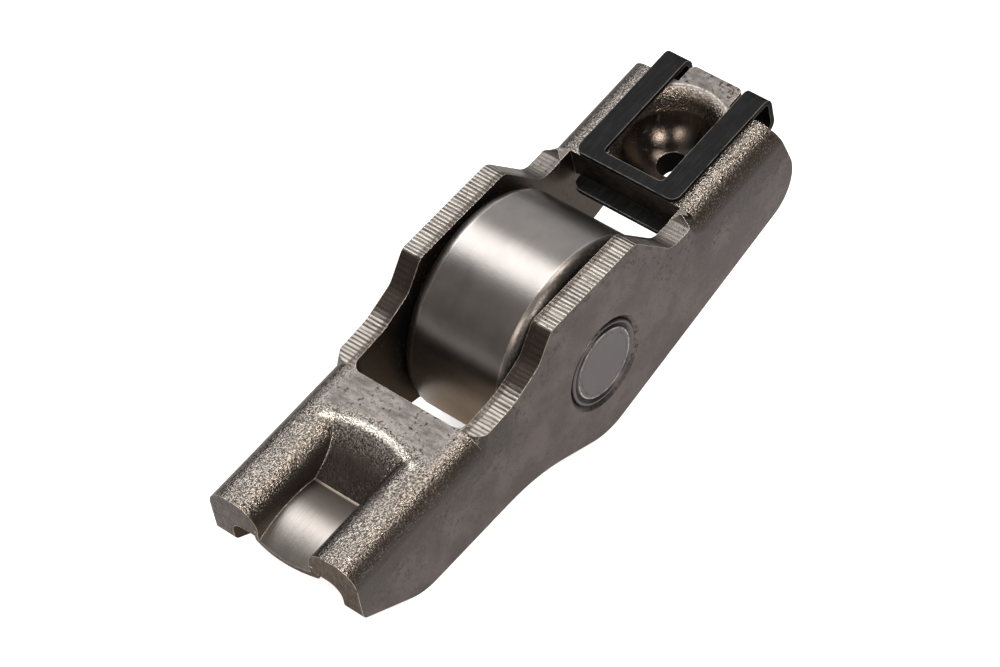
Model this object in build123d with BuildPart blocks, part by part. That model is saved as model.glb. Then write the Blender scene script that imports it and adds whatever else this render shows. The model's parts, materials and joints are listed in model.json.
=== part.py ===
from build123d import *
from math import acos, asin, atan2, cos, degrees, hypot, pi, radians, sin, sqrt, tan
import os

# Rocker arm of the roller finger follower kind, for an overhead-cam engine.
#
# A sheet-steel stamping carries a roller on needles. One end holds the ball of the lash adjuster
# in a drawn socket, kept there by a spring clip, and the other end pushes the valve stem.
#
# Every piece is drawn in the arm's own frame, in millimetres: the origin is the middle of the
# axle, +X runs towards the ball socket, +Y along the axle, and +Z out of the webs' upper faces.
# At the end all pieces are set down together, as the arm lies on its roller and its valve end.

os.makedirs("parts", exist_ok=True)

# ---------------------------------------------------------------- sheet and folds
body_width = 15.0
wall_thickness = 1.9
web_thickness = 2.8
fold_radius = 1.9
valve_channel_radius = 1.3
socket_channel_radius = 0.5
stock_margin = 2.0

# ---------------------------------------------------------------- side walls, lower edge
# Each corner is where two straight runs would meet, and is rounded by its own radius.
toe_x = -29.15
toe_z = 1.35
toe_round = 0.8
nose_x = -23.15
nose_z = -2.85
nose_round = 5.0
shank_x = -9.45
shank_z = -3.7
shank_round = 16.0
lobe_x = -1.35
lobe_z = -7.85
lobe_round = 6.0
heel_x = 25.15
heel_z = -3.7
heel_round = 3.5
tail_x = 23.35
ridge_front_x = -28.85

# ---------------------------------------------------------------- side walls, sheared upper edge
brow_x = -9.85
brow_z = 6.2
brow_round = 4.0
shoulder_x = -6.65
shoulder_z = 7.25
shoulder_round = 1.6
crest_front_x = -4.55
crest_front_z = 9.45
crest_front_round = 1.0
crest_back_x = 5.75
crest_back_z = 9.0
crest_back_round = 1.3
scoop_x = 9.45
scoop_z = 4.3
scoop_round = 1.6
scoop_end_x = 12.1
scoop_end_z = 4.2
scoop_end_round = 1.2
web_run_in = 4.2
fold_lift = 0.7

# ---------------------------------------------------------------- valve end
valve_web_z = 6.1
ridge_front_z = 6.5
window_front_x = -14.0
window_corner = 1.0
pad_half_width = 2.6
pad_front_z = 3.45
pad_back_x = -22.45
pad_back_z = 3.75
pad_crown = 0.6
pad_lip = 0.5
pad_setback = 0.2
pad_bow = 0.4
boss_side = 0.6
ramp_top_x = -18.05
ramp_plate = 1.25
ramp_crest_round = 4.4
ridge_round = 2.0

# ---------------------------------------------------------------- socket end
socket_web_z = 4.3
web_front_x = 13.05
socket_x = 18.4
ball_radius = 4.35
ball_centre_rise = 0.3
socket_rim_round = 1.1
cup_floor = 2.2
cup_round = 1.4
oil_hole_radius = 1.3
tongue_side_gap = 0.45
tongue_end_x = 25.35
tongue_round = 0.5

# ---------------------------------------------------------------- roller set
roller_radius = 9.6
roller_side_gap = 0.25
roller_shoulder = 1.15
roller_bore_chamfer = 0.3
axle_radius = 3.8
axle_fit = 0.01
axle_end_setback = 0.1
axle_edge_round = 0.15
stake_radius = 3.35
stake_half_width = 0.22
stake_depth = 0.25
bore_chamfer = 0.42
needle_count = 15
needle_play = 0.03
needle_spacing = 0.04
needle_end_gap = 0.35
needle_end_round = 0.3

# ---------------------------------------------------------------- ball clip
clip_thickness = 0.45
clip_wall_gap = 0.5
clip_arm_width = 2.1
clip_lower_strip = 0.65
clip_front_bar = 1.1
clip_front_x = 13.0
clip_lower_reach = 1.25
clip_corner = 0.8
clip_lower_corner = 1.0
clip_inner_corner = 0.4
clip_back_x = 25.7
clip_bend_round = 0.95
clip_cup_gap = 0.15

# ---------------------------------------------------------------- sizes that follow from those above
half_width = body_width / 2
inner_half_width = half_width - wall_thickness
hump_clear_z = crest_front_z + fold_radius + stock_margin
stock_floor_z = lobe_z - stock_margin
stock_front_x = toe_x - stock_margin
stock_back_x = heel_x + stock_margin
valve_slope = (ridge_front_z - valve_web_z) / (window_front_x - ridge_front_x)
socket_ceiling_z = socket_web_z - web_thickness
ball_centre_z = socket_web_z + ball_centre_rise
socket_floor_z = ball_centre_z - ball_radius
mouth_radius = sqrt(ball_radius**2 - ball_centre_rise**2)
edge_tolerance = body_width / 1000


def valve_top(x):
    """Height of the valve end's upper face, which climbs a little towards the ridges' ends."""
    return valve_web_z + (window_front_x - x) * valve_slope


ramp_run = ramp_top_x - pad_back_x
ramp_climb = valve_top(ramp_top_x) - pad_back_z
ramp_length = hypot(ramp_run, ramp_climb)
pad_under_z = pad_front_z - pad_lip
ramp_under_x = pad_back_x + ramp_plate * ramp_climb / ramp_length
crest_turn = degrees(atan2(ramp_climb, ramp_run) + atan2(valve_slope, 1))
crest_reach = ramp_crest_round * tan(radians(crest_turn / 2))
crest_start_x = ramp_top_x - crest_reach * ramp_run / ramp_length
crest_start_z = valve_top(ramp_top_x) - crest_reach * ramp_climb / ramp_length
crest_end_x = ramp_top_x + crest_reach * cos(atan2(valve_slope, 1))
boss_top_z = pad_back_z + pad_crown
boss_half_width = pad_half_width + boss_side
pad_side_x = toe_x + pad_setback
pad_front_x = pad_side_x - pad_bow
mouth_angle = degrees(asin(ball_centre_rise / ball_radius))

axle_half_length = half_width - axle_end_setback
needle_angle = pi / needle_count
needle_radius = ((axle_radius + needle_play) * sin(needle_angle) - needle_spacing / 2) / (
    1 - sin(needle_angle)
)
needle_pitch_radius = axle_radius + needle_play + needle_radius
ring_bore_radius = needle_pitch_radius + needle_radius + needle_play
roller_half_width = inner_half_width - roller_side_gap
needle_half_length = roller_half_width - needle_end_gap

clip_top_z = socket_web_z + clip_thickness
clip_bottom_z = socket_ceiling_z - clip_thickness
clip_middle_z = (clip_top_z + clip_bottom_z) / 2
clip_half_height = (clip_top_z - clip_bottom_z) / 2
clip_bend_inside = clip_bend_round - clip_thickness
clip_half_width = inner_half_width - clip_wall_gap
cup_radius = clip_half_width - clip_lower_strip - clip_cup_gap
clip_lower_x = clip_front_x - clip_lower_reach
clip_gap_half = clip_half_width - clip_arm_width
tongue_half_width = clip_gap_half - tongue_side_gap
clip_end_x = clip_back_x + stock_margin
cup_height = socket_web_z - web_thickness / 2 - (socket_floor_z - cup_floor)


# ================================================================ pad boss
with BuildPart() as pad_boss:
    with BuildSketch():
        with BuildLine():
            ThreePointArc(
                (pad_side_x, boss_half_width),
                (pad_front_x, 0),
                (pad_side_x, -boss_half_width),
            )
            Polyline(
                (pad_side_x, -boss_half_width),
                (ramp_top_x, -boss_half_width),
                (ramp_top_x, boss_half_width),
                (pad_side_x, boss_half_width),
            )
        make_face()
    extrude(amount=boss_top_z)
    with BuildSketch(Plane.XZ):
        with BuildLine():
            Polyline(
                (pad_front_x, pad_under_z),
                (ramp_under_x, pad_under_z),
                (ramp_top_x, valve_top(ramp_top_x) - web_thickness),
                (ramp_top_x, boss_top_z),
                (pad_front_x, boss_top_z),
                close=True,
            )
        make_face()
    extrude(amount=boss_half_width, both=True, mode=Mode.INTERSECT)

# ================================================================ pad slot
# What is pressed down between the ridges. Their crowns roll over into it, its floor is the crowned
# pad, and the ramp behind the pad bends back into the web.
with BuildPart() as pad_slot:
    for station_x in (stock_front_x, window_front_x):
        with BuildSketch(Plane.YZ.offset(station_x)):
            with BuildLine():
                wall_bottom = (pad_half_width, pad_front_z)
                roll_start = (pad_half_width, valve_top(station_x) - ridge_round)
                roll_end = (pad_half_width + ridge_round, valve_top(station_x))
                Line(wall_bottom, roll_start)
                RadiusArc(roll_start, roll_end, ridge_round)
                Polyline(roll_end, (roll_end[0], hump_clear_z), (0, hump_clear_z))
                mirror(about=Plane.YZ)
                Line(wall_bottom, (-pad_half_width, pad_front_z))
            make_face()
    loft(ruled=True)
    with BuildSketch(Plane.XZ):
        with BuildLine():
            ThreePointArc(
                (pad_front_x, pad_front_z),
                ((pad_front_x + pad_back_x) / 2, (pad_front_z + pad_back_z) / 2 + pad_crown),
                (pad_back_x, pad_back_z),
            )
            ramp = Line((pad_back_x, pad_back_z), (crest_start_x, crest_start_z))
            crest = JernArc(ramp @ 1, ramp % 1, ramp_crest_round, -crest_turn)
            Polyline(
                crest @ 1,
                (crest_end_x, hump_clear_z),
                (stock_front_x, hump_clear_z),
                (stock_front_x, pad_front_z),
                (pad_front_x, pad_front_z),
            )
        make_face()
    extrude(amount=half_width, both=True, mode=Mode.INTERSECT)

# ================================================================ arm body
# One cold-formed stamping. The folds leave an envelope of the full block, lofted through
# sections across the arm. The channels under the webs are lofted through sections in the same way.
outside_stations = [
    (stock_front_x, valve_top(stock_front_x)),
    (window_front_x, valve_web_z),
    (window_front_x + web_run_in, hump_clear_z),
    (web_front_x - web_run_in, hump_clear_z),
    (scoop_end_x, socket_web_z + fold_lift),
    (web_front_x, socket_web_z),
    (stock_back_x, socket_web_z),
]
valve_channel_stations = [
    (stock_front_x, valve_top(stock_front_x) - web_thickness),
    (window_front_x + window_corner, valve_top(window_front_x + window_corner) - web_thickness),
]
socket_channel_stations = [
    (web_front_x - window_corner, socket_ceiling_z),
    (stock_back_x, socket_ceiling_z),
]
run_of_sections = [
    (outside_stations, half_width, fold_radius, Mode.ADD),
    (valve_channel_stations, inner_half_width, valve_channel_radius, Mode.SUBTRACT),
    (socket_channel_stations, inner_half_width, socket_channel_radius, Mode.SUBTRACT),
]

# The side profile, as sheared: corners from the valve end's toe, round under the arm and back
# over the crests that stand beside the roller, each with its radius.
side_profile = [
    (toe_x, toe_z, toe_round),
    (nose_x, nose_z, nose_round),
    (shank_x, shank_z, shank_round),
    (lobe_x, lobe_z, lobe_round),
    (heel_x, heel_z, heel_round),
    (tail_x, socket_web_z, 0),
    (tail_x, socket_web_z + stock_margin, 0),
    (web_front_x, socket_web_z + stock_margin, 0),
    (scoop_end_x, scoop_end_z, scoop_end_round),
    (scoop_x, scoop_z, scoop_round),
    (crest_back_x, crest_back_z, crest_back_round),
    (crest_front_x, crest_front_z, crest_front_round),
    (shoulder_x, shoulder_z, shoulder_round),
    (brow_x, brow_z, brow_round),
    (window_front_x, valve_web_z, 0),
    (window_front_x, hump_clear_z, 0),
    (ridge_front_x, hump_clear_z, 0),
    (ridge_front_x, ridge_front_z, 0),
]

with BuildPart() as arm_body:
    for stations, half, corner, action in run_of_sections:
        for station_x, station_top in stations:
            with BuildSketch(Plane.YZ.offset(station_x)) as section:
                with BuildLine():
                    Polyline(
                        (-half, stock_floor_z),
                        (half, stock_floor_z),
                        (half, station_top),
                        (-half, station_top),
                        close=True,
                    )
                make_face()
                fillet(section.vertices().group_by(Axis.Y)[-1], corner)
        loft(ruled=True, mode=action)

    with BuildSketch(Plane.XZ):
        with BuildLine():
            FilletPolyline(
                *[(x, z) for x, z, corner in side_profile],
                radius=[corner for x, z, corner in side_profile],
                close=True,
            )
        make_face()
    extrude(amount=half_width, both=True, mode=Mode.INTERSECT)

    # The tongue of the socket web, between the arms of the clip.
    with BuildSketch(Plane.XY.offset(socket_ceiling_z)):
        with BuildLine():
            FilletPolyline(
                (socket_x, -tongue_half_width),
                (tongue_end_x, -tongue_half_width),
                (tongue_end_x, tongue_half_width),
                (socket_x, tongue_half_width),
                radius=[0, tongue_round, tongue_round, 0],
                close=True,
            )
        make_face()
    extrude(amount=web_thickness)

    # The window that the roller runs in.
    with BuildSketch():
        with BuildLine():
            FilletPolyline(
                (window_front_x, -inner_half_width),
                (web_front_x, -inner_half_width),
                (web_front_x, inner_half_width),
                (window_front_x, inner_half_width),
                radius=[window_corner, 0, 0, window_corner],
                close=True,
            )
        make_face()
    extrude(amount=hump_clear_z, both=True, mode=Mode.SUBTRACT)

    # The valve pad and its ramp are pressed down through the web, and show as a boss below.
    add(pad_boss.part)
    add(pad_slot.part, mode=Mode.SUBTRACT)

    # The ball socket: a cup under the web, the ball's hollow with its rounded rim, and the oil hole.
    with BuildSketch(Plane.XY.offset(socket_floor_z - cup_floor)):
        with Locations((socket_x, 0)):
            Circle(cup_radius)
    extrude(amount=cup_height)
    fillet(arm_body.edges(Select.LAST).group_by(Axis.Z)[0], cup_round)
    with BuildSketch(Plane.XZ) as hollow:
        with BuildLine():
            CenterArc((socket_x, ball_centre_z), ball_radius, -90, 90 - mouth_angle)
            Polyline(
                (socket_x + mouth_radius, socket_web_z),
                (socket_x + 2 * mouth_radius, socket_web_z),
                (socket_x + 2 * mouth_radius, hump_clear_z),
                (socket_x, hump_clear_z),
                (socket_x, socket_floor_z),
            )
        make_face()
        rim = hollow.vertices().sort_by_distance((socket_x + mouth_radius, socket_web_z))[0]
        fillet(rim, socket_rim_round)
    revolve(axis=Axis((socket_x, 0, 0), (0, 0, 1)), mode=Mode.SUBTRACT)
    with BuildSketch(Plane.XY.offset(socket_floor_z)):
        with Locations((socket_x, 0)):
            Circle(oil_hole_radius)
    extrude(amount=2 * cup_floor, both=True, mode=Mode.SUBTRACT)

    # The bores for the axle, with a countersink that its staked ends spread into.
    with BuildSketch(Plane.XZ):
        Circle(axle_radius + axle_fit)
    extrude(amount=body_width, both=True, mode=Mode.SUBTRACT)
    bore_edges = arm_body.edges(Select.LAST).filter_by(
        lambda edge: abs(edge.center().Y) > half_width - edge_tolerance
    )
    chamfer(bore_edges, bore_chamfer)

# ================================================================ axle pin
# Turned and hardened, with soft ends that are staked outwards by a ring-shaped punch.
with BuildPart() as axle_pin:
    with BuildSketch() as axle_outline:
        Rectangle(axle_radius, 2 * axle_half_length, align=(Align.MIN, Align.CENTER))
        fillet(axle_outline.vertices().group_by(Axis.X)[-1], axle_edge_round)
        for side in (-1, 1):
            with BuildLine():
                Polyline(
                    (stake_radius - stake_half_width, side * axle_half_length),
                    (stake_radius, side * (axle_half_length - stake_depth)),
                    (stake_radius + stake_half_width, side * axle_half_length),
                    close=True,
                )
            make_face(mode=Mode.SUBTRACT)
    revolve(axis=Axis.Y)

# ================================================================ roller ring
# Ground bearing steel, with rounded shoulders so that its edges don't load the cam.
with BuildPart() as roller_ring:
    with BuildSketch(Plane.XY) as ring_outline:
        with Locations((ring_bore_radius, 0)):
            Rectangle(
                roller_radius - ring_bore_radius,
                2 * roller_half_width,
                align=(Align.MIN, Align.CENTER),
            )
        fillet(ring_outline.vertices().group_by(Axis.X)[-1], roller_shoulder)
        chamfer(ring_outline.vertices().group_by(Axis.X)[0], roller_bore_chamfer)
    revolve(axis=Axis.Y)

# ================================================================ needles
# A full complement of loose needles, side by side round the axle with no cage.
needles = []
for index in range(needle_count):
    angle = 2 * pi * index / needle_count
    needle_plane = Plane(
        origin=(needle_pitch_radius * cos(angle), 0, needle_pitch_radius * sin(angle)),
        z_dir=(0, 1, 0),
    )
    with BuildPart() as needle:
        with BuildSketch(needle_plane):
            Circle(needle_radius)
        extrude(amount=needle_half_length, both=True)
        fillet(needle.edges().filter_by(GeomType.CIRCLE), needle_end_round)
    needle.part.label = f"needle_{index + 1:02d}"
    needles.append(needle)

# ================================================================ ball clip
# One strip of spring steel, folded like a hairpin round the tail of the socket web. Its upper
# leg is a fork for the neck of the ball, and its lower leg a frame that fits round the cup.
with BuildPart() as ball_clip:
    with BuildSketch(Plane.XZ):
        with BuildLine():
            FilletPolyline(
                (clip_lower_x, clip_bottom_z),
                (clip_back_x, clip_bottom_z),
                (clip_back_x, clip_top_z),
                (clip_front_x, clip_top_z),
                (clip_front_x, socket_web_z),
                (clip_back_x - clip_thickness, socket_web_z),
                (clip_back_x - clip_thickness, socket_ceiling_z),
                (clip_lower_x, socket_ceiling_z),
                radius=[0, clip_bend_round, clip_bend_round, 0, 0, clip_bend_inside, clip_bend_inside, 0],
                close=True,
            )
        make_face()
    extrude(amount=clip_half_width, both=True)
    corner_edges = ball_clip.edges().filter_by(Axis.Z).group_by(Axis.X)
    fillet(corner_edges[0], clip_lower_corner)
    upper_corners = ball_clip.edges().filter_by(Axis.Z).filter_by(
        lambda edge: edge.center().Z > clip_middle_z and edge.center().X < socket_x
    )
    fillet(upper_corners, clip_corner)

    with BuildSketch(Plane.XY.offset(clip_middle_z)):
        with BuildLine():
            FilletPolyline(
                (clip_front_x + clip_front_bar, -clip_gap_half),
                (clip_end_x, -clip_gap_half),
                (clip_end_x, clip_gap_half),
                (clip_front_x + clip_front_bar, clip_gap_half),
                radius=[clip_inner_corner, 0, 0, clip_inner_corner],
                close=True,
            )
        make_face()
    extrude(amount=clip_half_height + stock_margin, mode=Mode.SUBTRACT)

    with BuildSketch(Plane.XY.offset(clip_middle_z)):
        with Locations((socket_x, 0)):
            Circle(cup_radius + clip_cup_gap)
            Rectangle(clip_end_x - socket_x, 2 * clip_gap_half, align=(Align.MIN, Align.CENTER))
    extrude(amount=-clip_half_height - stock_margin, mode=Mode.SUBTRACT)

# ================================================================ at rest
# The arm lies on its roller and on the rounded nose of its valve end. The slope of that line,
# which touches both rounds from below, is what turns the arm level.
to_toe = Vector(toe_x - nose_x, 0, toe_z - nose_z).normalized()
to_shank = Vector(shank_x - nose_x, 0, shank_z - nose_z).normalized()
nose_inwards = (to_toe + to_shank).normalized()
nose_half_angle = acos(nose_inwards.dot(to_toe))
nose_centre = Vector(nose_x, 0, nose_z) + nose_inwards * (nose_round / sin(nose_half_angle))
line_slope = atan2(-nose_centre.Z, -nose_centre.X) - asin(
    (roller_radius - nose_round) / nose_centre.length
)
laid_down = Location((0, 0, roller_radius), (0, degrees(line_slope), 0))

arm_body.part.label = "arm_body"
axle_pin.part.label = "axle_pin"
roller_ring.part.label = "roller_ring"
ball_clip.part.label = "ball_clip"
pieces = [arm_body, axle_pin, roller_ring, ball_clip] + needles
for piece in pieces:
    piece.part.location = laid_down

length_box = Compound([piece.part for piece in pieces]).bounding_box()
centred = Location((-(length_box.min.X + length_box.max.X) / 2, 0, 0))
for piece in pieces:
    piece.part.location = centred * laid_down
    export_step(piece.part, f"parts/{piece.part.label}.step")
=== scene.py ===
import json
from math import cos, radians, sin

import bpy
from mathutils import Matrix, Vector

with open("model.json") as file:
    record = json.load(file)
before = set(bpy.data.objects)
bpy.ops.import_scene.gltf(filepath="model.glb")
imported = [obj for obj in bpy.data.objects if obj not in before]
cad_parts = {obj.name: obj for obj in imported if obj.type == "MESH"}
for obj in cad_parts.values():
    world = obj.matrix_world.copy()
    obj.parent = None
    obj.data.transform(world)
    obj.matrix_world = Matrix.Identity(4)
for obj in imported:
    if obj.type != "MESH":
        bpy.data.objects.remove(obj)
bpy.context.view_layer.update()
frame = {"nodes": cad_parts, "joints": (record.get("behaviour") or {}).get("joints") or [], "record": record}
node = frame["nodes"]
joint = {each["name"]: each for each in frame["joints"]}
mount = {each["name"]: each for each in frame["record"]["mounts"]}

# ---------------------------------------------------------------- arm body
# One stamping of case-hardened steel, tumbled after it was sheared and folded. The punch leaves
# torn grooves across its cut edges, the folding dies leave a coarse burnished skin on the
# ridges, and the pad and the ball socket are coined smooth where they will rub.
MILLIMETRES = 1000.0
AXLE = Vector(joint["roller_spin"]["pos_m"]) * MILLIMETRES
ABOVE = Vector(mount["ball_socket"]["axis"])
ACROSS = Vector((0.0, 1.0, 0.0))
ALONG = ACROSS.cross(ABOVE)


class Link:
    """A value in a material's node tree. Sums written with it become Math nodes."""

    def __init__(self, tree, socket=None):
        self.tree = tree
        self.socket = socket

    def node(self, kind, settings=None, sockets=None, output=0):
        """Adds a node: its settings first, then the numbers or links of its sockets."""
        made = self.tree.nodes.new("ShaderNode" + kind)
        for name, setting in (settings or {}).items():
            setattr(made, name, setting)
        for name, given in (sockets or {}).items():
            if isinstance(given, Link):
                self.tree.links.new(given.socket, made.inputs[name])
            else:
                made.inputs[name].default_value = given
        return Link(self.tree, made.outputs[output] if made.outputs else None)

    def sum(self, operation, first, second=0.0):
        return self.node("Math", {"operation": operation}, {0: first, 1: second})

    def __add__(self, other):
        return self.sum("ADD", self, other)

    def __sub__(self, other):
        return self.sum("SUBTRACT", self, other)

    def __rsub__(self, other):
        return self.sum("SUBTRACT", other, self)

    def __mul__(self, other):
        return self.sum("MULTIPLY", self, other)

    def __or__(self, other):
        """The greater of two masks, which covers what either covers."""
        return self.sum("MAXIMUM", self, other)

    def __abs__(self):
        return self.sum("ABSOLUTE", self)

    def __neg__(self):
        return self.sum("SUBTRACT", 0.0, self)

    __radd__ = __add__
    __rmul__ = __mul__
    __ror__ = __or__


def rise(value, low, high):
    """0 below low and 1 above high, with a soft step between them."""
    return value.node(
        "MapRange",
        {"interpolation_type": "SMOOTHSTEP"},
        {"Value": value, "From Min": low, "From Max": high},
    )


def fall(value, low, high):
    """1 below low and 0 above high, with a soft step between them."""
    return 1.0 - rise(value, low, high)


def line(value, middle, core, edge):
    """1 within core of the middle and 0 beyond edge from it."""
    return fall(abs(value - middle), core, edge)


def blend(mask, first, second):
    """The colour first where mask is 0 and second where it is 1."""
    return mask.node("Mix", {"data_type": "RGBA"}, {0: mask, 6: first, 7: second}, output=2)


def vector(along, across, above):
    return along.node("CombineXYZ", sockets={0: along, 1: across, 2: above})


def noise(place, scale, detail=2.0, roughness=0.5):
    """A cloudy pattern from 0 to 1, with about scale lumps to each unit of place."""
    return place.node(
        "TexNoise",
        sockets={"Vector": place, "Scale": scale, "Detail": detail, "Roughness": roughness},
    )


def length(place):
    return place.node("VectorMath", {"operation": "LENGTH"}, {0: place}, output=1)


def distance(place, point):
    return place.node("VectorMath", {"operation": "DISTANCE"}, {0: place, 1: point}, output=1)


def dot(place, direction):
    return place.node("VectorMath", {"operation": "DOT_PRODUCT"}, {0: place, 1: direction}, output=1)


# The cosine between a face's true direction and its rounded one, where an edge is fully worn and
# where the face is untouched.
EDGE_TURN = (0.80, 0.99)


class Steel:
    """A metal's material, with the arm's own directions in millimetres from the axle."""

    def __init__(self, name):
        self.material = bpy.data.materials.new(name)
        self.material.use_nodes = True
        self.material.node_tree.nodes.clear()
        start = Link(self.material.node_tree)
        place = start.node("TexCoord", output=3)
        facing = start.node("TexCoord", output=1)
        in_millimetres = place.node(
            "VectorMath", {"operation": "SCALE"}, {0: place, "Scale": MILLIMETRES}
        )
        from_axle = place.node("VectorMath", {"operation": "SUBTRACT"}, {0: in_millimetres, 1: AXLE})
        self.along = dot(from_axle, ALONG)
        self.across = dot(from_axle, ACROSS)
        self.above = dot(from_axle, ABOVE)
        self.faces_along = dot(facing, ALONG)
        self.faces_across = dot(facing, ACROSS)
        self.faces_above = dot(facing, ABOVE)
        self.in_arm = vector(self.along, self.across, self.above)

    def stretched(self, along, across, above):
        """The place in the arm, with each of its directions times a number."""
        return self.in_arm.node(
            "VectorMath", {"operation": "MULTIPLY"}, {0: self.in_arm, 1: (along, across, above)}
        )

    def worn_edges(self, width):
        """1 on the convex and concave edges, within about width millimetres of them."""
        rounded = self.in_arm.node("Bevel", {"samples": 6}, {"Radius": width / MILLIMETRES})
        true_facing = self.in_arm.node("NewGeometry", output=1)
        return fall(dot(rounded, true_facing), *EDGE_TURN)

    def finish(self, colour, roughness, height, depth, metallic=1.0, specular=0.5, edge_round=0.06):
        """Joins the colour, roughness and surface relief, which is depth millimetres deep."""
        edges = self.in_arm.node("Bevel", {"samples": 4}, {"Radius": edge_round / MILLIMETRES})
        relief = height.node(
            "Bump",
            sockets={
                "Strength": 1.0,
                "Distance": depth / MILLIMETRES,
                "Height": height,
                "Normal": edges,
            },
        )
        surface = colour.node(
            "BsdfPrincipled",
            sockets={
                "Base Color": colour,
                "Metallic": metallic,
                "Specular IOR Level": specular,
                "Roughness": roughness,
                "Normal": relief,
            },
        )
        surface.node("OutputMaterial", sockets={"Surface": surface})
        return self.material


steel = Steel("stamped_steel")
along, across, above = steel.along, steel.across, steel.above
out = abs(across)
sideways = abs(steel.faces_across)
in_plan = steel.stretched(1.0, 1.0, 0.0)

# The patterns of the sheet and of the tools: lumps to the millimetre, detail and roughness. A
# squeezed pattern has its lumps to the millimetre along, across and above instead.
CLOUDS = (0.33, 4.0, 0.62)
SPECKLE = (2.6, 3.0, 0.65)
GRAIN = (6.8, 1.5, 0.5)
FINE_GRAIN = (11.0, 2.0, 0.6)
WEAR = (1.4, 2.0, 0.6)
BRUSHED = (0.5, 8.0, 0.5)
TORN = (6.0, 0.18, 6.0)
STREAKED = (3.0, 0.7, 3.0)
SCORED = (1.0, 4.0, 0.8)
clouds = noise(steel.in_arm, *CLOUDS)
speckle = noise(steel.in_arm, *SPECKLE)
grain = noise(steel.in_arm, *GRAIN)
fine = noise(steel.in_arm, *FINE_GRAIN)
wear = noise(steel.in_arm, *WEAR)

# Which way a face looks, as a soft step from hardly to fully. The countersinks round the axle
# are left out of what the folding dies and the tumbling did.
COUNTERSINK = 5.0
TIPPED_UP = (0.16, 0.42)
TIPPED_DOWN = (0.2, 0.6)
LEVEL = (0.9, 0.97)
SQUARE_ON = (0.75, 0.92)
from_axle = length(steel.stretched(1.0, 0.0, 1.0))
clear_of_axle = rise(from_axle, COUNTERSINK, COUNTERSINK + 0.2)
upright = rise(steel.faces_above, *TIPPED_UP)
under = rise(-steel.faces_above, *TIPPED_DOWN)
inside = fall(across * steel.faces_across, -0.4, -0.1)
inner_wall = inside * rise(sideways, 0.7, 0.9)
outside = rise(sideways, *SQUARE_ON) * (1.0 - inside)

# The valve end: the pad, the ramp down to it, the slot's walls and the arched rim round them.
PAD_HALF_WIDTH = 2.6
PAD_BACK = -22.45
RAMP_TOP = -18.05
RIM_ARC_RADIUS = 10.6
RIM_ARC_CENTRE = RAMP_TOP + 0.4 - RIM_ARC_RADIUS
POCKET_SIDE = 4.4
PAD_SHADE_START = PAD_BACK - 4.1
PAD_SHADE_FULL = PAD_BACK - 1.8
RAMP_SHADE_TOP = PAD_BACK + 1.8
PAD_SATIN = (0.335, 0.305, 0.280, 1.0)
PAD_GREY = (0.235, 0.210, 0.190, 1.0)
PAD_SHADE = (0.055, 0.045, 0.038, 1.0)
PAD_LINE = (0.42, 0.34, 0.26, 1.0)
RAMP_SHADE = (0.034, 0.026, 0.022, 1.0)
RAMP_GREY = (0.215, 0.193, 0.178, 1.0)
valve_end = fall(along, RAMP_TOP - 0.3, RAMP_TOP + 1.4)
on_slot = fall(out, PAD_HALF_WIDTH - 0.05, PAD_HALF_WIDTH)
behind_pad = rise(along, PAD_BACK - 0.03, PAD_BACK + 0.03)
past_arc = distance(in_plan, (RIM_ARC_CENTRE, 0.0, 0.0)) - RIM_ARC_RADIUS
in_pocket = fall(out, POCKET_SIDE, POCKET_SIDE + 0.8)
pocket_rim = fall(past_arc, 0.4, 1.4) * in_pocket
# Painted highlight: a bright line along the pocket's arched rim.
pocket_glint = line(past_arc, 0.08, 0.10, 0.50) * in_pocket
on_pad = on_slot * (1.0 - behind_pad) * upright
on_ramp = on_slot * fall(past_arc, -0.7, -0.1) * behind_pad * upright
beside_slot = rise(out, PAD_HALF_WIDTH, PAD_HALF_WIDTH + 0.4) * valve_end
slot_wall = on_slot | fall(out, PAD_HALF_WIDTH, PAD_HALF_WIDTH + 0.9)
slot_wall = slot_wall * rise(sideways, 0.5, 0.9) * valve_end
brush = noise(steel.stretched(*BRUSHED), 1.0, 2.0, 0.6)
satin = blend(rise(brush, 0.3, 0.7) * 0.4 + clouds * 0.5, PAD_GREY, PAD_SATIN)
# Painted shade: the pad darkens towards its back, where it meets the ramp.
satin = blend(rise(along, PAD_SHADE_START, PAD_SHADE_FULL) * 0.92, satin, PAD_SHADE)
satin = blend(line(along, PAD_BACK - 0.08, 0.05, 0.16) * 0.9, satin, PAD_LINE)
# Painted shade: the ramp is dark brown down in the recess, with grey grain only on its upper part.
ramp_upper_grain = rise(grain, 0.35, 0.65) * rise(along, RAMP_SHADE_TOP, RAMP_TOP)
ramp = blend(ramp_upper_grain, RAMP_SHADE, RAMP_GREY)

# The ball socket: a smooth bowl, its rim textured by the drawing, and the oil hole through it. The
# bowl's dark brown and the oil hole's black are painted shade, and a bright line round the rim is
# a painted highlight.
BALL = Vector(mount["ball_socket"]["pos_m"]) * MILLIMETRES - AXLE
BALL_ALONG = BALL.dot(ALONG)
BALL_ABOVE = BALL.dot(ABOVE)
BALL_RADIUS = 4.35
BOWL_DEEP = BALL_RADIUS + 0.03
BOWL_GONE = BALL_RADIUS + 0.12
RIM_START = 3.80
RIM_LINE = BALL_RADIUS + 0.95
RIM_END = BALL_RADIUS + 1.25
HOLE_RADIUS = 1.34
BOWL_SHADE = (0.068, 0.056, 0.048, 1.0)
RIM_BROWN = (0.135, 0.110, 0.093, 1.0)
RIM_LIGHT = (0.345, 0.305, 0.266, 1.0)
HOLE_SHADE = (0.012, 0.010, 0.008, 1.0)
from_ball = distance(steel.in_arm, (BALL_ALONG, 0.0, BALL_ABOVE))
from_ball_axis = distance(in_plan, (BALL_ALONG, 0.0, 0.0))
rim = fall(from_ball_axis, RIM_END, RIM_END + 0.1) * rise(from_ball_axis, RIM_START, RIM_START + 0.15)
rim = rim * rise(steel.faces_above, 0.0, 0.1) * fall(steel.faces_above, 0.975, 0.995)
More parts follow.
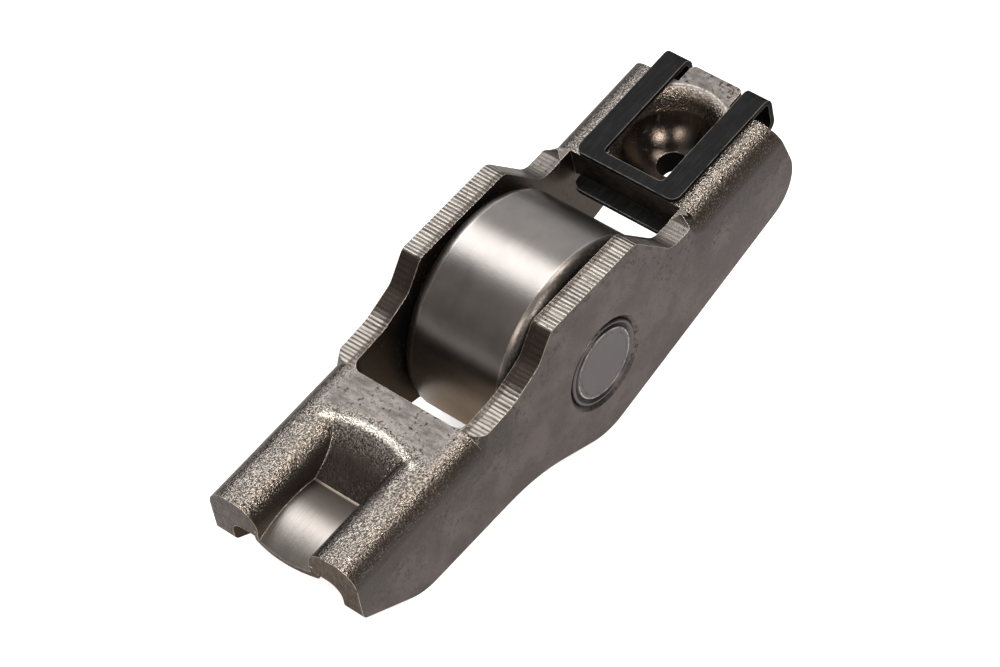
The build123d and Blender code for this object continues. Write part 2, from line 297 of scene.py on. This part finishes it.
# Painted highlight: a speckled bright line round the socket's rim.
rim_glint = line(from_ball_axis, RIM_LINE, 0.03, 0.13)
rim_glint = rim_glint * rise(above, BALL_ABOVE - 0.6, BALL_ABOVE - 0.5) * upright
bowl = fall(from_ball, BOWL_DEEP, BOWL_GONE) * (1.0 - rim)
oil_hole = fall(from_ball_axis, HOLE_RADIUS, HOLE_RADIUS + 0.08) * rise(from_ball, BOWL_DEEP, BOWL_GONE)
textured_rim = blend(rise(grain, 0.36, 0.66), RIM_BROWN, RIM_LIGHT)

# The cut edges along the tops of the walls: grooved by the punch where it cut, brown and rough
# where the sheet broke, and rubbed smooth down the humps' flanks and in the scoops. The flanks'
# dark brown is painted shade.
WALL_INSIDE = 5.6
BREAK = WALL_INSIDE + 0.40
FLANK_TILT = (0.36, 0.56)
FLANK_ALONG = -7.4
FLANK_REACH = (1.0, 2.4)
SCOOP_START = 7.9
BAND_SCALE = 0.88
BAND_WAVER = 0.8
SHEARED_GREY = (0.410, 0.372, 0.335, 1.0)
SHEARED_DARK = (0.105, 0.091, 0.081, 1.0)
FRACTURE_BROWN = (0.085, 0.067, 0.056, 1.0)
SCOOP_GREY = (0.122, 0.108, 0.098, 1.0)
# This dark brown is both an oily film on the walls and painted shade on the flanks, the folds and the slot.
FILM_AND_SHADE_BROWN = (0.045, 0.033, 0.028, 1.0)
sheared = fall(sideways, 0.02, 0.08) * rise(out, WALL_INSIDE - 0.03, WALL_INSIDE + 0.02)
fracture = fall(out + (speckle - 0.5) * 0.5, BREAK, BREAK + 0.22)
ragged = noise(steel.stretched(*TORN), 1.0, 2.0, 0.6)
ridged = steel.in_arm.node(
    "TexWave",
    {"wave_type": "BANDS", "bands_direction": "X"},
    {
        "Vector": steel.in_arm,
        "Scale": BAND_SCALE,
        "Distortion": BAND_WAVER,
        "Detail": 2.0,
        "Detail Scale": 1.2,
    },
    output=1,
)
grooves = ragged * 0.62 + ridged * 0.38
flank = rise(-steel.faces_along, *FLANK_TILT) * rise(steel.faces_above, 0.3, 0.5)
flank = flank | line(along, FLANK_ALONG, *FLANK_REACH)
scoop = rise(along, SCOOP_START, SCOOP_START + 0.8)
torn = blend(rise(grooves, 0.30, 0.60), SHEARED_DARK, SHEARED_GREY)
torn = blend(fracture * (0.55 + rise(grain, 0.40, 0.60) * 0.4), torn, FRACTURE_BROWN)
# Painted shade: the humps' flanks are painted dark brown.
torn = blend(flank * 0.95, torn, FILM_AND_SHADE_BROWN)
torn = blend(scoop * 0.8, torn, SCOOP_GREY)

# The folds: a coarse bright skin on the ridges, and a dark band down their outer sides, set further
# round on the far side. The band is painted shade where the folds face away from the lights, and it
# also dulls the metal there. Below it an oily burnish runs out in blotches on the walls.
FOLD_START = (0.06, 0.30)
FOLD_END = (0.62, 0.80)
RIDGE_CREST = (4.6, 5.8)
SOCKET_RIDGE = (4.3, 5.2)
SOCKET_RIDGE_ALONG = (10.0, 11.5)
FOLD_SHADE_TILT = (0.50, 0.68)
FOLD_SHADE_FACES_UP = (0.0, 0.10)
BLOTCH_SPREAD = 7.0
VALVE_BURNISH = (1.6, 3.8)
VALVE_BURNISH_END = (-11.5, -9.0)
SOCKET_BURNISH = (-0.6, 1.6)
SOCKET_BURNISH_START = (11.0, 13.0)
SKIN_DARK = (0.058, 0.047, 0.040, 1.0)
SKIN_LIGHT = (0.300, 0.270, 0.240, 1.0)
fold = rise(sideways, *FOLD_START) * upright * (1.0 - rise(sideways, *FOLD_END) * 0.7)
skin = fold | (upright * (beside_slot | pocket_rim))
skin = skin | (rise(out, *RIDGE_CREST) * rise(steel.faces_above, *LEVEL) * 0.6)
skin = skin | (rise(out, *SOCKET_RIDGE) * rise(along, *SOCKET_RIDGE_ALONG) * upright)
skin = skin * (1.0 - sheared) * clear_of_axle
far_side = rise(across, 0.0, 1.0)
# Painted shade: a dark band down the folds' outer sides, set further round on the far side.
fold_shade = rise(sideways + far_side * 0.16, *FOLD_SHADE_TILT)
fold_shade = fold_shade * rise(steel.faces_above, *FOLD_SHADE_FACES_UP) * (1.0 - inside) * clear_of_axle
blotched = above + (speckle - 0.5) * BLOTCH_SPREAD
below_ridge = rise(blotched, *VALVE_BURNISH) * fall(along, *VALVE_BURNISH_END)
below_socket = rise(blotched, *SOCKET_BURNISH) * rise(along, *SOCKET_BURNISH_START)
below_fold = (below_ridge | below_socket) * outside
worked = blend(rise(grain, 0.38, 0.64), SKIN_DARK, SKIN_LIGHT)

# The sheet itself: grey webs with tumbling marks and pits, darker walls, painted brown shade on
# the undersides and on the walls' inner faces, and the scored faces where the ends and the window
# were cut.
WINDOW_PAST = 12.2
MOTTLED_ABOVE = (-2.5, 4.0)
MOTTLED_PAST_AXLE = (6.5, 9.0)
WALL_GREY = (0.152, 0.126, 0.122, 1.0)
WALL_DARK = (0.100, 0.081, 0.078, 1.0)
WEB_GREY = (0.215, 0.193, 0.178, 1.0)
WEB_DARK = (0.070, 0.061, 0.055, 1.0)
PIT_DARK = (0.025, 0.020, 0.018, 1.0)
FACE_BROWN = (0.105, 0.078, 0.065, 1.0)
FACE_DARK = (0.016, 0.012, 0.010, 1.0)
UNDERSIDE_SHADE = (0.085, 0.074, 0.066, 1.0)
EDGE_WEAR_AND_GLINT = (0.78, 0.71, 0.62, 1.0)
wall = blend(rise(clouds, 0.36, 0.66), WALL_DARK, WALL_GREY)
wall = blend(rise(fine, 0.50, 0.70) * 0.22, wall, WEB_GREY)
mottled = rise(speckle, 0.52, 0.66) * rise(above, *MOTTLED_ABOVE)
mottled = mottled * rise(from_axle, *MOTTLED_PAST_AXLE)
wall = blend(mottled * 0.6, wall, FILM_AND_SHADE_BROWN)
wall = blend(below_fold * 0.9, wall, FILM_AND_SHADE_BROWN)
streaks = noise(steel.stretched(*STREAKED), 1.0, 3.0, 0.6)
tumbled = rise(clouds, 0.30, 0.62) * 0.5 + rise(streaks, 0.35, 0.65) * 0.5
pits = rise(speckle, 0.60, 0.66) * rise(clouds, 0.44, 0.56) * (1.0 - on_pad)
web = blend(tumbled, WEB_DARK, WEB_GREY)
web = blend(rise(fine, 0.46, 0.66) * 0.45, web, WALL_DARK)
web = blend(rise(speckle, 0.46, 0.62) * 0.35, web, WEB_DARK)
web = blend(pits * 0.85, web, PIT_DARK)
# Painted highlight along the pocket's arched rim.
web = blend(pocket_glint * rise(speckle, 0.25, 0.50) * 0.9, web, EDGE_WEAR_AND_GLINT)
face = rise(abs(steel.faces_along), *SQUARE_ON) * fall(along, WINDOW_PAST, WINDOW_PAST + 0.6)
scored = noise(steel.stretched(*SCORED), 1.0, 3.0, 0.6) * 0.6 + speckle * 0.4
scored_face = blend(rise(scored, 0.38, 0.62), FACE_DARK, FACE_BROWN)

# All the finishes, each over the one before, and last the edges: worn bright, and with a painted
# highlight, except on the faces turned down.
WORN_WIDTH = 0.13
colour = blend(outside | inner_wall, web, wall)
colour = blend(skin * (0.9 - pocket_glint * 0.6), colour, worked)
# Painted shade down the folds' outer sides.
colour = blend(fold_shade * (1.0 - rise(grain, 0.5, 0.75) * 0.4), colour, FILM_AND_SHADE_BROWN)
# Painted shade on the walls' inner faces, which look in between the walls.
colour = blend(inner_wall, colour, UNDERSIDE_SHADE)
colour = blend(face, colour, scored_face)
colour = blend(sheared * (1.0 - face * valve_end), colour, torn)
# Painted shade on the faces turned down.
colour = blend(under, colour, UNDERSIDE_SHADE)
colour = blend(on_ramp, colour, ramp)
colour = blend(on_pad, colour, satin)
# Painted shade on the slot's walls beside the pad, down in the recess.
colour = blend(slot_wall * 0.85, colour, FILM_AND_SHADE_BROWN)
colour = blend(rim, colour, textured_rim)
# Painted shade in the bowl and the oil hole, and a painted highlight round the socket's rim.
colour = blend(bowl, colour, BOWL_SHADE)
colour = blend(rim_glint * rise(speckle, 0.35, 0.55) * 0.4, colour, EDGE_WEAR_AND_GLINT)
colour = blend(oil_hole, colour, HOLE_SHADE)
# Bright edges: worn, and also a painted highlight, left off the faces turned down.
edge_wear_and_glint = steel.worn_edges(WORN_WIDTH) * rise(wear, 0.25, 0.45) * clear_of_axle
colour = blend(edge_wear_and_glint * 0.8 * (1.0 - under), colour, EDGE_WEAR_AND_GLINT)

# How smooth each finish is, how deep its relief, and how much of the metal a dull film hides.
PLAIN_ROUGHNESS = 0.38
RELIEF_DEPTH = 0.42
EDGE_ROUND = 0.11
FILM_MOST = 0.8
polished = skin * 0.16 + bowl * 0.12 + rim * 0.10
roughened = clouds * 0.10 + on_pad * 0.06 + oil_hole * 0.5
grained = 0.02 + skin * 0.14 + on_ramp * 0.03 + rim * 0.13 + below_fold * 0.08
height = (
    fine * 0.03
    + (grain - 0.5) * grained * (1.0 - bowl) * (1.0 - on_pad)
    + (grooves - 0.5) * sheared * (0.21 - flank * 0.19) * (1.0 - scoop * 0.8)
    + scored * face * 0.05
    + brush * on_pad * 0.02
    - pits * 0.08
)
filmed = fold_shade * 0.7 + below_fold * 0.7 + slot_wall * 0.4 + on_ramp * 0.3 + face * 0.5
metallic = 1.0 - filmed.sum("MINIMUM", filmed, FILM_MOST)
roughness = PLAIN_ROUGHNESS + roughened - polished
stamped_steel = steel.finish(
    colour, roughness, height, RELIEF_DEPTH, metallic, edge_round=EDGE_ROUND
)


def dress(name, material):
    """Gives a CAD node its material, in every slot that it has."""
    mesh = node[name].data
    mesh.materials.clear()
    mesh.materials.append(material)


dress("arm_body", stamped_steel)

# ---------------------------------------------------------------- axle pin
# A turned and hardened pin with soft ends. Only its end faces show, each with a staked ring, its
# lip given a painted highlight and its grooves painted shade.
STAKE_RADIUS = 3.35
STAKE_GROOVE = STAKE_RADIUS - 0.10
STAKE_LIP = STAKE_RADIUS - 0.27
INNER_GROOVE = STAKE_RADIUS - 0.62
TURNED_LINES = 9.0
AXLE_CLOUDS = (0.6, 4.0, 0.6)
AXLE_RAGGED = (2.2, 3.0, 0.6)
TURNED_DEPTH = 0.02
TURNED_ROUGHNESS = 0.36
AXLE_GREY = (0.145, 0.136, 0.144, 1.0)
AXLE_LIP_GLINT = (0.62, 0.57, 0.52, 1.0)
AXLE_GROOVE_SHADE = (0.06, 0.055, 0.05, 1.0)

steel = Steel("axle_steel")
radius = length(steel.stretched(1.0, 0.0, 1.0))
turned = noise(vector(radius * TURNED_LINES, 0.0, 0.0), 1.0, 1.0)
clouds = noise(steel.in_arm, *AXLE_CLOUDS)
ragged = noise(steel.in_arm, *AXLE_RAGGED)
# Painted shade in the staked grooves, and a painted highlight on the lip.
groove = line(radius, STAKE_GROOVE, 0.02, 0.10)
inner_groove = line(radius, INNER_GROOVE, 0.02, 0.10) * rise(ragged, 0.40, 0.6)
lip = line(radius, STAKE_LIP, 0.02, 0.09) * rise(ragged, 0.36, 0.60)
colour = blend(rise(clouds, 0.35, 0.7) * 0.5, AXLE_GREY, WALL_GREY)
colour = blend(groove * 0.8, colour, AXLE_GROOVE_SHADE)
colour = blend(inner_groove * 0.7, colour, AXLE_GROOVE_SHADE)
colour = blend(lip * 0.8, colour, AXLE_LIP_GLINT)
height = turned * 0.5 + ragged * 0.3
axle_steel = steel.finish(colour, TURNED_ROUGHNESS + clouds * 0.1, height, TURNED_DEPTH)
dress("axle_pin", axle_steel)

# ---------------------------------------------------------------- roller ring
# Bearing steel, ground all over and honed, so that fine lines run round it. Its rounded shoulders
# are darker, and scuffed from tumbling against other parts. A painted highlight runs along the
# line where each shoulder meets the ground face.
SHOULDER_START = 4.25
SHOULDER_FULL = SHOULDER_START + 0.5
HONED = (0.12, 9.0, 0.12)
SCUFFED = (1.0, 2.0, 1.0)
ROLLER_CLOUDS = (0.22, 3.0, 0.6)
ROLLER_GRAIN = (7.0, 2.0, 0.6)
GROUND_DEPTH = 0.014
GROUND_ROUGHNESS = 0.27
ROLLER_GREY = (0.290, 0.266, 0.248, 1.0)
ROLLER_DARK = (0.220, 0.200, 0.185, 1.0)
ROLLER_SCUFF_AND_GLINT = (0.46, 0.42, 0.37, 1.0)
SHOULDER_GREY = (0.085, 0.076, 0.070, 1.0)

steel = Steel("ground_steel")
lines = noise(steel.stretched(*HONED), 1.0, 2.0, 0.6)
clouds = noise(steel.in_arm, *ROLLER_CLOUDS)
grain = noise(steel.in_arm, *ROLLER_GRAIN)
scuffs = noise(steel.stretched(*SCUFFED), 2.0, 3.0, 0.7)
from_middle = abs(steel.across)
shoulder = rise(from_middle, SHOULDER_START, SHOULDER_FULL)
# Painted highlight where each shoulder meets the ground face.
corner_glint = line(from_middle, SHOULDER_START, 0.03, 0.11)
colour = blend(rise(clouds, 0.35, 0.65) * 0.6 + lines * 0.3, ROLLER_DARK, ROLLER_GREY)
colour = blend(shoulder, colour, SHOULDER_GREY)
colour = blend(shoulder * rise(scuffs, 0.46, 0.68) * 0.22, colour, ROLLER_SCUFF_AND_GLINT)
colour = blend(corner_glint * rise(scuffs, 0.30, 0.5) * 0.8, colour, ROLLER_SCUFF_AND_GLINT)
roughness = GROUND_ROUGHNESS + clouds * 0.08 + shoulder * 0.10
height = lines * 0.35 + grain * 0.4 + scuffs * shoulder * 0.7
ground_steel = steel.finish(colour, roughness, height, GROUND_DEPTH)
dress("roller_ring", ground_steel)

# ---------------------------------------------------------------- needles
# Loose bearing needles, ground and bright with a film of oil. They fill the space between the
# axle and the ring, and go round the axle as the ring rolls.
NEEDLE_BRIGHT = (0.56, 0.55, 0.53, 1.0)
NEEDLE_OILED = (0.40, 0.37, 0.32, 1.0)
OIL_PATCHES = 0.8
OIL_DEPTH = 0.004
OIL_ROUGHNESS = 0.16

steel = Steel("needle_steel")
film = noise(steel.in_arm, OIL_PATCHES, 3.0)
colour = blend(rise(film, 0.4, 0.65), NEEDLE_BRIGHT, NEEDLE_OILED)
needle_steel = steel.finish(colour, OIL_ROUGHNESS + film * 0.1, film, OIL_DEPTH)
for needle in frame["record"]["behaviour"]["bodies"]["needles"]:
    dress(needle, needle_steel)

# ---------------------------------------------------------------- ball clip
# A strip of spring steel, blanked, folded like a hairpin and blackened. The black oxide is matt,
# streaked along the rolling direction and rubbed thin on the edges, whose pale line is also a
# painted highlight.
ROLLED = (0.5, 5.0, 1.0)
OXIDE_GRAIN = (6.0, 3.0, 0.6)
OXIDE_RUBBED = (1.1, 3.0, 0.6)
OXIDE_DEPTH = 0.015
OXIDE_ROUGHNESS = 0.50
OXIDE_SHEEN = 0.12
CLIP_BLACK = (0.0025, 0.0027, 0.0032, 1.0)
CLIP_WORN = (0.0085, 0.0089, 0.0100, 1.0)
CLIP_EDGE = (0.34, 0.32, 0.30, 1.0)

steel = Steel("black_spring_steel")
streaks = noise(steel.stretched(*ROLLED), 1.0, 3.0, 0.6)
grain = noise(steel.in_arm, *OXIDE_GRAIN)
rubbed = noise(steel.in_arm, *OXIDE_RUBBED)
# Pale edges: rubbed oxide, and also a painted highlight.
edge_wear_and_glint = steel.worn_edges(WORN_WIDTH) * rise(rubbed, 0.25, 0.50)
colour = blend(rise(streaks * 0.6 + rubbed * 0.4, 0.44, 0.62) * 0.9, CLIP_BLACK, CLIP_WORN)
colour = blend(edge_wear_and_glint * 0.8, colour, CLIP_EDGE)
roughness = OXIDE_ROUGHNESS + grain * 0.1
height = streaks * 0.3 + grain * 0.5
black_oxide = steel.finish(
    colour, roughness, height, OXIDE_DEPTH, metallic=0.0, specular=OXIDE_SHEEN
)
dress("ball_clip", black_oxide)

# ---------------------------------------------------------------- floor
# A white sweep, plain white to the camera, with a painted shadow close under the arm where ambient
# occlusion finds it near. The steel mirrors it dimmer, less so near the arm, and painted brown
# where it lies between the walls, as a painted reflection of the shade under the arm.
FLOOR_SIZE = 4.0
FLOOR_WHITE = (0.50, 0.50, 0.50, 1.0)
FLOOR_ROUGHNESS = 0.9
MIRRORED = 0.42
MIRRORED_NEAR = 0.035
MIRRORED_FAR = 0.075
BETWEEN_WALLS = 0.005
PAST_WALLS = 0.008
SHADE_REACH = 0.012
SHADE_OPEN = 0.22
SHADED = (0.10, 0.085, 0.060, 1.0)
MIRRORED_SHADE_BROWN = (0.80, 0.58, 0.40, 1.0)
UNLIT = (0.0, 0.0, 0.0, 1.0)
ROOM_WHITE = (1.0, 1.0, 1.0, 1.0)

bpy.ops.mesh.primitive_plane_add(size=FLOOR_SIZE, location=(0.0, 0.0, 0.0))
floor = bpy.context.object
floor.name = "floor"
floor_paint = bpy.data.materials.new("floor_white")
floor_paint.use_nodes = True
floor_paint.node_tree.nodes.clear()
start = Link(floor_paint.node_tree)
seen = start.node("LightPath")
mirrored = start.node("LightPath", output=3)
through = start.node("LightPath", output=6)
floor_place = start.node("TexCoord", output=3)
floor_across = start.node("SeparateXYZ", sockets={0: floor_place}, output=1)
near_arm = fall(length(floor_place), MIRRORED_NEAR, MIRRORED_FAR)
between_walls = fall(abs(floor_across), BETWEEN_WALLS, PAST_WALLS)
lit = seen + through + mirrored * near_arm * MIRRORED
# Painted shadow: the glow is darkened where ambient occlusion finds the arm close above.
open_sky = start.node("AmbientOcclusion", {"samples": 8}, {"Distance": SHADE_REACH}, output=1)
glow = blend(rise(open_sky, 0.0, SHADE_OPEN), SHADED, ROOM_WHITE)
# Painted reflection of shade: between the walls the mirrored floor is brown.
glow = blend(mirrored * between_walls, glow, MIRRORED_SHADE_BROWN)
painted = start.node(
    "BsdfPrincipled",
    sockets={
        "Base Color": FLOOR_WHITE,
        "Roughness": FLOOR_ROUGHNESS,
        "Emission Color": blend(lit, UNLIT, glow),
        "Emission Strength": 1.0,
    },
)
painted.node("OutputMaterial", sockets={"Surface": painted})
floor.data.materials.append(floor_paint)

# ---------------------------------------------------------------- light
# A dim room and five soft boxes: one behind for the long highlight on the roller, a small one
# overhead for the crests of the folds, a wide dim one for the top of the roller, and two small
# warm ones in front, which show as two spots in the ball socket.
ROOM_LEVEL = 0.115
room = bpy.data.worlds.new("room")
bpy.context.scene.world = room
room.use_nodes = True
room.node_tree.nodes.clear()
start = Link(room.node_tree)
seen = start.node("LightPath")
through = start.node("LightPath", output=6)
backdrop = start.node("Background", sockets={"Color": ROOM_WHITE, "Strength": 1.0})
air = start.node("Background", sockets={"Color": ROOM_WHITE, "Strength": ROOM_LEVEL})
mixed = start.node("MixShader", sockets={0: seen + through, 1: air, 2: backdrop})
mixed.node("OutputWorld", sockets={"Surface": mixed})

# Each box's name, its azimuth and elevation in degrees, its distance and width in metres, its
# power in watts and its tint.
AIM = Vector((0.0, 0.0, 0.010))
COOL_WHITE = (0.96, 0.98, 1.0)
WARM_WHITE = (1.0, 0.93, 0.85)
SOFT_BOXES = [
    ("soft_box_back", 93.0, 60.0, 0.50, 0.24, 1.05, COOL_WHITE),
    ("soft_box_top", -20.0, 83.0, 0.50, 0.14, 1.05, WARM_WHITE),
    ("soft_box_right", 46.0, 34.0, 0.55, 0.40, 0.44, COOL_WHITE),
    ("soft_box_front", -126.0, 47.0, 0.55, 0.15, 1.50, WARM_WHITE),
    ("soft_box_left", 178.0, 34.0, 0.55, 0.14, 0.80, WARM_WHITE),
]
for name, azimuth, elevation, reach, width, power, tint in SOFT_BOXES:
    lamp = bpy.data.lights.new(name, "AREA")
    lamp.shape = "SQUARE"
    lamp.size = width
    lamp.energy = power
    lamp.color = tint
    box = bpy.data.objects.new(name, lamp)
    bpy.context.scene.collection.objects.link(box)
    level = cos(radians(elevation))
    direction = Vector(
        (
            level * cos(radians(azimuth)),
            level * sin(radians(azimuth)),
            sin(radians(elevation)),
        )
    )
    box.location = AIM + direction * reach
    box.rotation_euler = direction.to_track_quat("Z", "Y").to_euler()

# ---------------------------------------------------------------- camera
# A long lens 0.3 m off, above the valve end and a little rolled, so that the pad, the roller and
# the ball socket all show.
CAMERA_PLACE = Vector((-0.18297, -0.14263, 0.19953))
CAMERA_TURN = (50.7282, -2.2893, -50.0151)
CAMERA_LENS = 137.43
SENSOR_WIDTH = 36.0
NEAREST = 0.01
lens = bpy.data.cameras.new("camera")
lens.lens = CAMERA_LENS
lens.sensor_width = SENSOR_WIDTH
lens.clip_start = NEAREST
camera = bpy.data.objects.new("camera", lens)
camera.location = CAMERA_PLACE
camera.rotation_euler = [radians(turn) for turn in CAMERA_TURN]
bpy.context.scene.collection.objects.link(camera)
bpy.context.scene.camera = camera
bpy.context.scene.view_settings.view_transform = "Standard"
